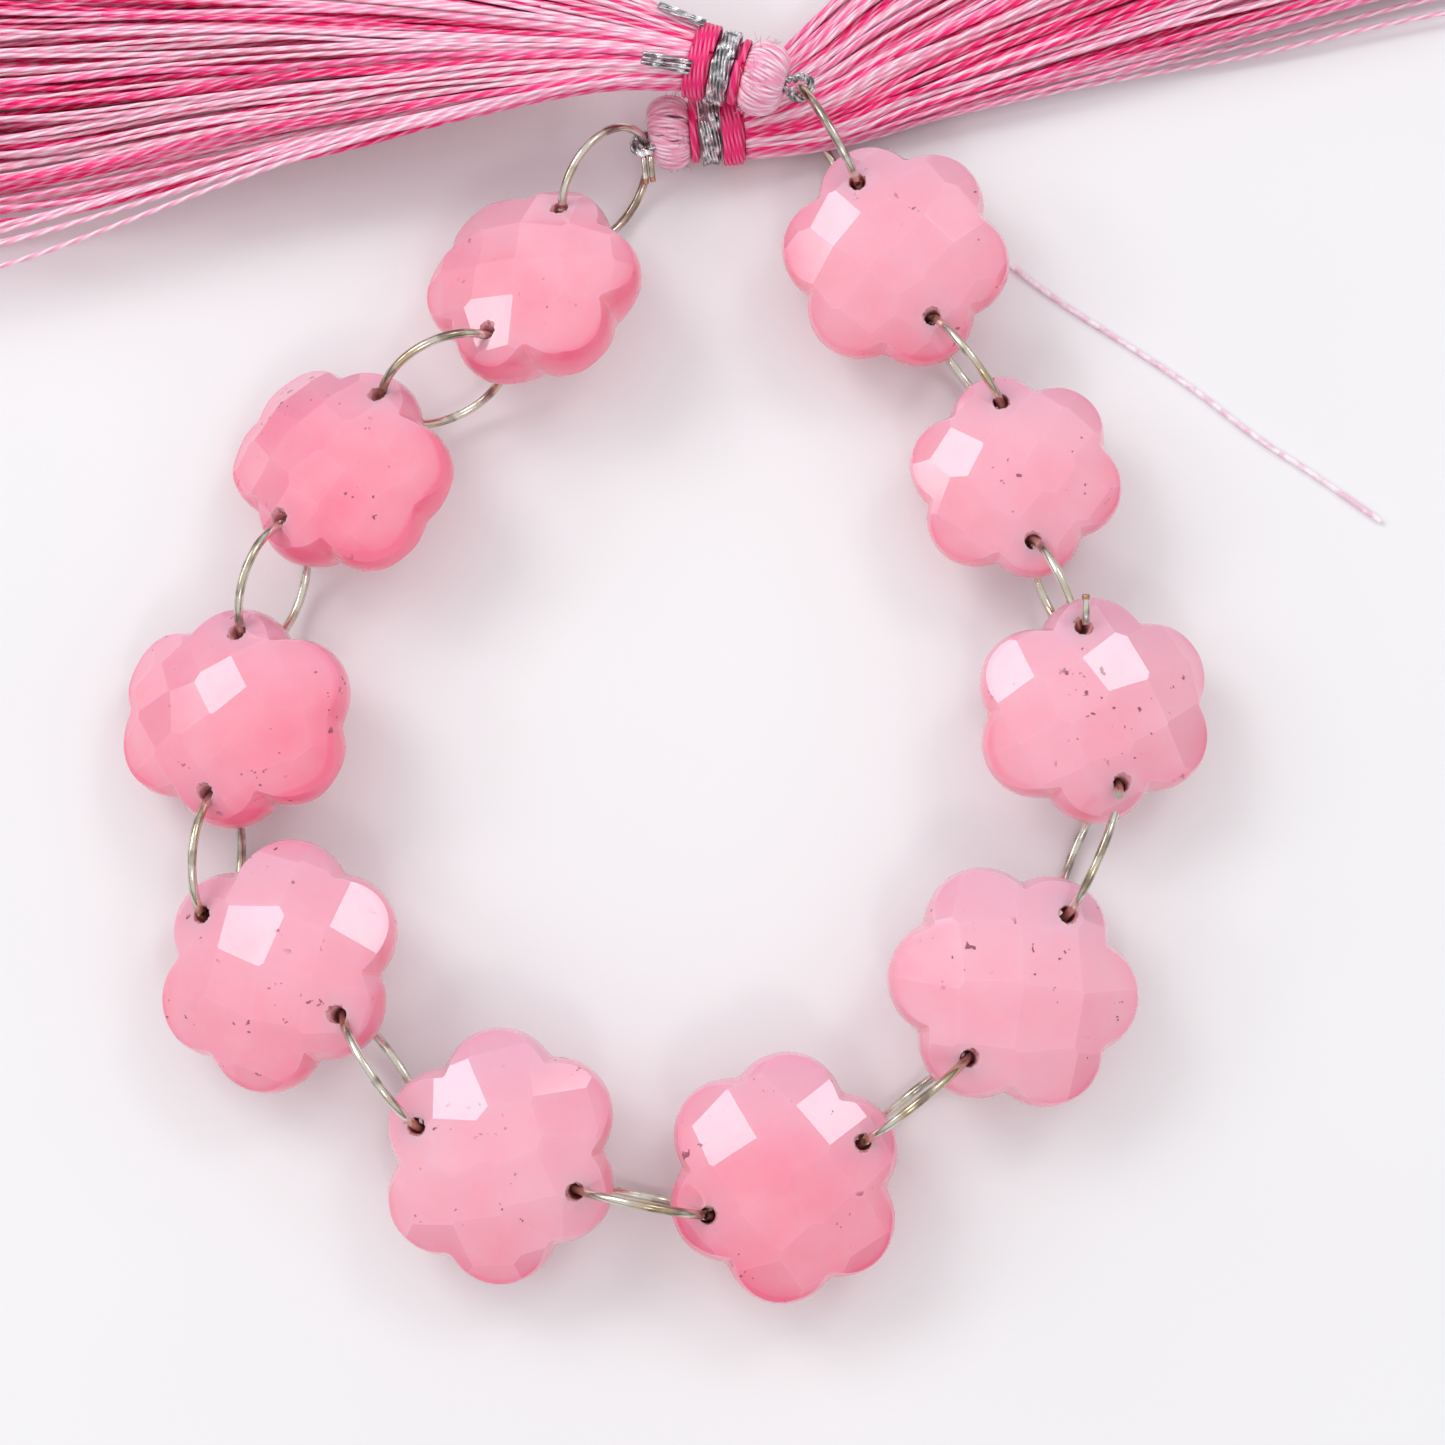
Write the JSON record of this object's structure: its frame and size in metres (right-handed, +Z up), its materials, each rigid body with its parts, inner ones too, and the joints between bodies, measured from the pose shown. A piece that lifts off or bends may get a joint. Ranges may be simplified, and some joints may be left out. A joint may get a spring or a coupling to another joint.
{
  "type": "beaded strand",
  "caption": "Open strand of carved flower-shaped stone beads joined by bent wire rings, with a silk tassel at each end; the tassels lie crossed.",
  "frame": {"origin": "middle of the strand's box on the table, not counting the loose thread", "axes": "+X along the crossed tassels, towards the second tassel's tips; +Y from the loop of beads towards the tassels; +Z up"},
  "size_m": [0.1242, 0.1154, 0.01],
  "materials": {
    "pink_stone": "polished flat facets, translucent",
    "ring_wire": "bright drawn wire, silver plated, a little worn",
    "pale_silk": "glossy twisted silk thread, pale pink with hot pink among it",
    "hot_pink_silk": "glossy silk thread wound side by side",
    "silver_thread": "metallic thread, silver"
  },
  "bodies": {
    "bead_01": {"bead_01": "pink_stone"},
    "bead_02": {"bead_02": "pink_stone"},
    "bead_03": {"bead_03": "pink_stone"},
    "bead_04": {"bead_04": "pink_stone"},
    "bead_05": {"bead_05": "pink_stone"},
    "bead_06": {"bead_06": "pink_stone"},
    "bead_07": {"bead_07": "pink_stone"},
    "bead_08": {"bead_08": "pink_stone"},
    "bead_09": {"bead_09": "pink_stone"},
    "bead_10": {"bead_10": "pink_stone"},
    "ring_01": {"ring_01": "ring_wire"},
    "ring_02": {"ring_02": "ring_wire"},
    "ring_03": {"ring_03": "ring_wire"},
    "ring_04": {"ring_04": "ring_wire"},
    "ring_05": {"ring_05": "ring_wire"},
    "ring_06": {"ring_06": "ring_wire"},
    "ring_07": {"ring_07": "ring_wire"},
    "ring_08": {"ring_08": "ring_wire"},
    "ring_09": {"ring_09": "ring_wire"},
    "ring_10": {"ring_10": "ring_wire"},
    "ring_11": {"ring_11": "ring_wire"},
    "tassel_a": {"eye_a": "silver_thread", "core_a": "pale_silk", "head_a": "pale_silk", "narrow_wrap_a": "hot_pink_silk", "silver_wrap_a": "silver_thread", "wide_wrap_a": "hot_pink_silk", "skirt_a": "pale_silk"},
    "tassel_b": {"eye_b": "silver_thread", "core_b": "pale_silk", "head_b": "pale_silk", "narrow_wrap_b": "hot_pink_silk", "silver_wrap_b": "silver_thread", "wide_wrap_b": "hot_pink_silk", "skirt_b": "pale_silk", "loose_thread": "pale_silk"}
  },
  "joints": [
    {"name": "ring_05_in_bead_05", "type": "hinge", "parent": "bead_05", "child": "ring_05", "pos_m": [0.00842, -0.04737, 0.00489], "axis": [0, 0, -1], "range_deg": [0, 12]},
    {"name": "bead_04_on_ring_05", "type": "hinge", "parent": "ring_05", "child": "bead_04", "pos_m": [0.0147, -0.04239, 0.00494], "axis": [0, 0, -1], "range_deg": [0, 12]},
    {"name": "ring_04_in_bead_04", "type": "hinge", "parent": "bead_04", "child": "ring_04", "pos_m": [0.02078, -0.03372, 0.00497], "axis": [0, 0, -1], "range_deg": [0, 12]},
    {"name": "bead_03_on_ring_04", "type": "hinge", "parent": "ring_04", "child": "bead_03", "pos_m": [0.02405, -0.02581, 0.00474], "axis": [0, 0, -1], "range_deg": [0, 12]},
    {"name": "ring_03_in_bead_03", "type": "hinge", "parent": "bead_03", "child": "ring_03", "pos_m": [0.02183, -0.0161, 0.00497], "axis": [0, 0, -1], "range_deg": [0, 12]},
    {"name": "bead_02_on_ring_03", "type": "hinge", "parent": "ring_03", "child": "bead_02", "pos_m": [0.01928, -0.01058, 0.00453], "axis": [0, 0, -1], "range_deg": [0, 12]},
    {"name": "ring_02_in_bead_02", "type": "hinge", "parent": "bead_02", "child": "ring_02", "pos_m": [0.0174, -0.00173, 0.00458], "axis": [0, 0, -1], "range_deg": [0, 12]},
    {"name": "bead_01_on_ring_02", "type": "hinge", "parent": "ring_02", "child": "bead_01", "pos_m": [0.01326, 0.00369, 0.0046], "axis": [0, 0, -1], "range_deg": [0, 12]},
    {"name": "ring_01_in_bead_01", "type": "hinge", "parent": "bead_01", "child": "ring_01", "pos_m": [0.00862, 0.0124, 0.00471], "axis": [0, 0, -1], "range_deg": [0, 12]},
    {"name": "tassel_a_on_ring_01", "type": "hinge", "parent": "ring_01", "child": "tassel_a", "pos_m": [0.00491, 0.01859, 0.00637], "axis": [0, 0, -1], "range_deg": [0, 25]},
    {"name": "ring_06_in_bead_05", "type": "hinge", "parent": "bead_05", "child": "ring_06", "pos_m": [-0.00094, -0.05174, 0.00482], "axis": [0, 0, 1], "range_deg": [0, 12]},
    {"name": "bead_06_on_ring_06", "type": "hinge", "parent": "ring_06", "child": "bead_06", "pos_m": [-0.00866, -0.0502, 0.00486], "axis": [0, 0, 1], "range_deg": [0, 10]},
    {"name": "ring_07_in_bead_06", "type": "hinge", "parent": "bead_06", "child": "ring_07", "pos_m": [-0.01826, -0.0463, 0.00465], "axis": [0, 0, 1], "range_deg": [0, 7]},
    {"name": "bead_07_on_ring_07", "type": "hinge", "parent": "ring_07", "child": "bead_07", "pos_m": [-0.02281, -0.03985, 0.00541], "axis": [0, 0, 1], "range_deg": [0, 7]},
    {"name": "ring_08_in_bead_07", "type": "hinge", "parent": "bead_07", "child": "ring_08", "pos_m": [-0.03131, -0.03366, 0.0041], "axis": [0, 0, 1], "range_deg": [0, 5]},
    {"name": "bead_08_on_ring_08", "type": "hinge", "parent": "ring_08", "child": "bead_08", "pos_m": [-0.03094, -0.02643, 0.00475], "axis": [0, 0, 1], "range_deg": [0, 5]},
    {"name": "ring_09_in_bead_08", "type": "hinge", "parent": "bead_08", "child": "ring_09", "pos_m": [-0.02918, -0.01648, 0.00475], "axis": [0, 0, 1], "range_deg": [0, 6]},
    {"name": "bead_09_on_ring_09", "type": "hinge", "parent": "ring_09", "child": "bead_09", "pos_m": [-0.02676, -0.00965, 0.00467], "axis": [0, 0, 1], "range_deg": [0, 7]},
    {"name": "ring_10_in_bead_09", "type": "hinge", "parent": "bead_09", "child": "ring_10", "pos_m": [-0.02075, -0.00186, 0.00484], "axis": [0, 0, 1], "range_deg": [0, 9]},
    {"name": "bead_10_on_ring_10", "type": "hinge", "parent": "ring_10", "child": "bead_10", "pos_m": [-0.01406, 0.00176, 0.00588], "axis": [0, 0, 1], "range_deg": [0, 12]},
    {"name": "ring_11_in_bead_10", "type": "hinge", "parent": "bead_10", "child": "ring_11", "pos_m": [-0.00965, 0.01013, 0.00443], "axis": [0, 0, 1], "range_deg": [0, 12]},
    {"name": "tassel_b_on_ring_11", "type": "hinge", "parent": "ring_11", "child": "tassel_b", "pos_m": [-0.00497, 0.01587, 0.00351], "axis": [0, 0, 1], "range_deg": [0, 25]}
  ]
}
